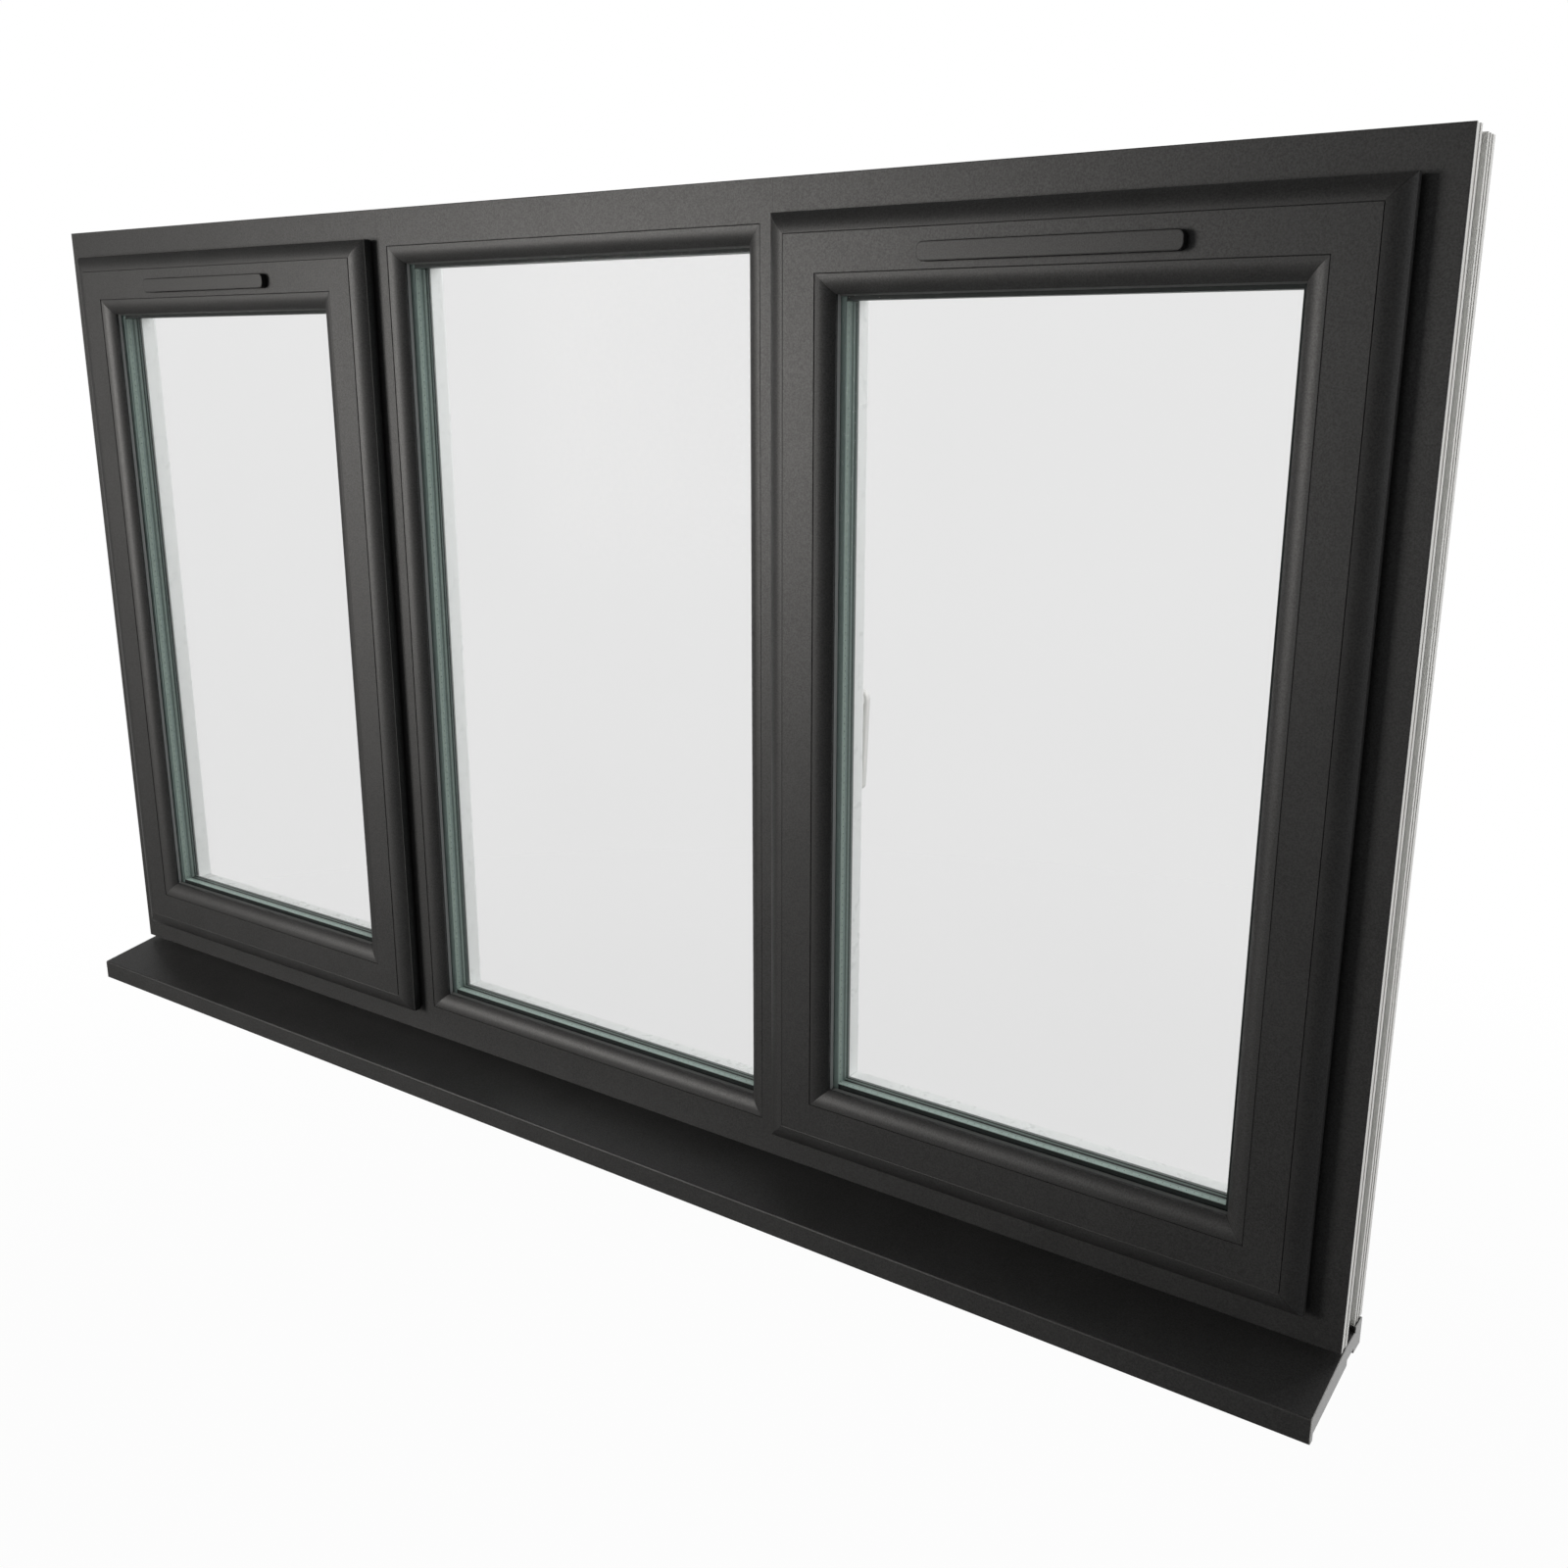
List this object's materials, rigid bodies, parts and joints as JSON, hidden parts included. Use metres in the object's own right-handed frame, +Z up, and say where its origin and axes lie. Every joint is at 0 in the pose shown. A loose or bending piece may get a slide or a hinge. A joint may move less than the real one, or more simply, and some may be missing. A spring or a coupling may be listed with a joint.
{
  "type": "triple casement window with fixed centre pane",
  "caption": "Dark foiled window with a fixed centre light between side-hung casements, slim vents, white inside fittings and a sloped projecting sill.",
  "frame": {"origin": "middle of the bedding strip under the back of the sill, where the window sits on the wall", "axes": "+X along the wall to the right seen from outside, +Y from outside to inside, +Z up"},
  "size_m": [1.77, 0.166, 1.0438],
  "materials": {
    "foiled_pvc": "fine-grained satin foil, dark grey, white inside the rebates and on the room side",
    "grey_pvc": "bare moulded PVC",
    "white_pvc": "smooth white",
    "white_enamel": "white powder coat",
    "vent_plastic": "dark moulded, satin",
    "clear_glass": "polished float",
    "spacer_bar": "satin grey",
    "black_rubber": "matte",
    "stay_steel": "brushed"
  },
  "bodies": {
    "root": {"frame_head": "foiled_pvc", "frame_bottom_rail": "foiled_pvc", "frame_left_jamb": "foiled_pvc", "frame_right_jamb": "foiled_pvc", "left_mullion": "foiled_pvc", "right_mullion": "foiled_pvc", "sill": "foiled_pvc", "sill_left_end_cap": "grey_pvc", "sill_right_end_cap": "grey_pvc", "left_sash_top_rail": "foiled_pvc", "left_sash_bottom_rail": "foiled_pvc", "left_sash_hinge_stile": "foiled_pvc", "left_sash_lock_stile": "foiled_pvc", "left_weather_seal": "black_rubber", "left_trickle_vent": "vent_plastic", "left_vent_control": "white_pvc", "left_handle_base": "white_enamel", "left_handle_lever": "white_enamel", "left_friction_stays": "stay_steel", "right_sash_top_rail": "foiled_pvc", "right_sash_bottom_rail": "foiled_pvc", "right_sash_hinge_stile": "foiled_pvc", "right_sash_lock_stile": "foiled_pvc", "right_weather_seal": "black_rubber", "right_trickle_vent": "vent_plastic", "right_vent_control": "white_pvc", "right_handle_base": "white_enamel", "right_handle_lever": "white_enamel", "right_friction_stays": "stay_steel", "left_outer_pane": "clear_glass", "left_inner_pane": "clear_glass", "left_spacer": "spacer_bar", "left_outer_gasket": "black_rubber", "left_beads": "white_pvc", "fixed_outer_pane": "clear_glass", "fixed_inner_pane": "clear_glass", "fixed_spacer": "spacer_bar", "fixed_outer_gasket": "black_rubber", "fixed_beads": "white_pvc", "right_outer_pane": "clear_glass", "right_inner_pane": "clear_glass", "right_spacer": "spacer_bar", "right_outer_gasket": "black_rubber", "right_beads": "white_pvc"}
  },
  "joints": []
}
